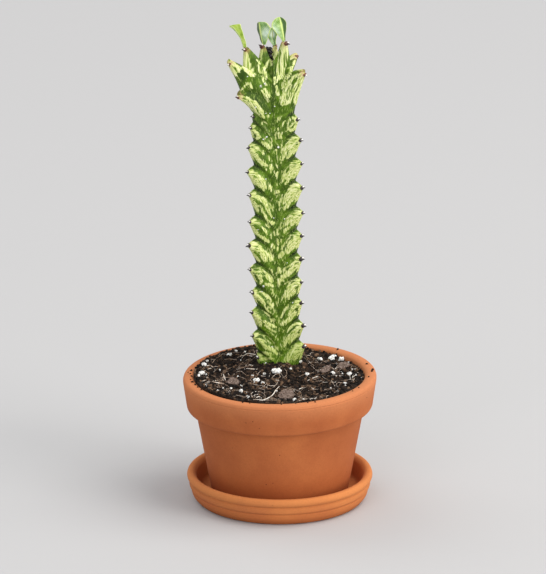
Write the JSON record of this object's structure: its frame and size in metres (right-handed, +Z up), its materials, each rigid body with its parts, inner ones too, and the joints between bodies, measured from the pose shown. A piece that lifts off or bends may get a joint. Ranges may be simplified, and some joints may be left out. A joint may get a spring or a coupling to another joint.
{
  "type": "potted euphorbia",
  "caption": "Columnar angled euphorbia with toothed variegated ribs, short spines and small crown leaves, in potting mix in a terracotta pot on a terracotta saucer.",
  "frame": {"origin": "centre of the saucer's underside, where it rests", "axes": "+Z up along the pot's axis, -Y towards the front, +X to the right seen from the front"},
  "size_m": [0.11, 0.11, 0.2834],
  "materials": {
    "saucer_clay": "unglazed fired clay, matt",
    "pot_clay": "unglazed fired clay, matt",
    "soil": "loose bark and peat with perlite",
    "stem": "waxy succulent skin, variegated green and cream, with dark spines",
    "leaf": "waxy leaf, yellow-green margins"
  },
  "bodies": {
    "root": {"saucer": "saucer_clay", "pot": "pot_clay", "soil": "soil", "stem": "stem", "leaf_left": "leaf", "leaf_centre": "leaf", "leaf_right": "leaf", "leaf_back": "leaf"}
  },
  "joints": []
}
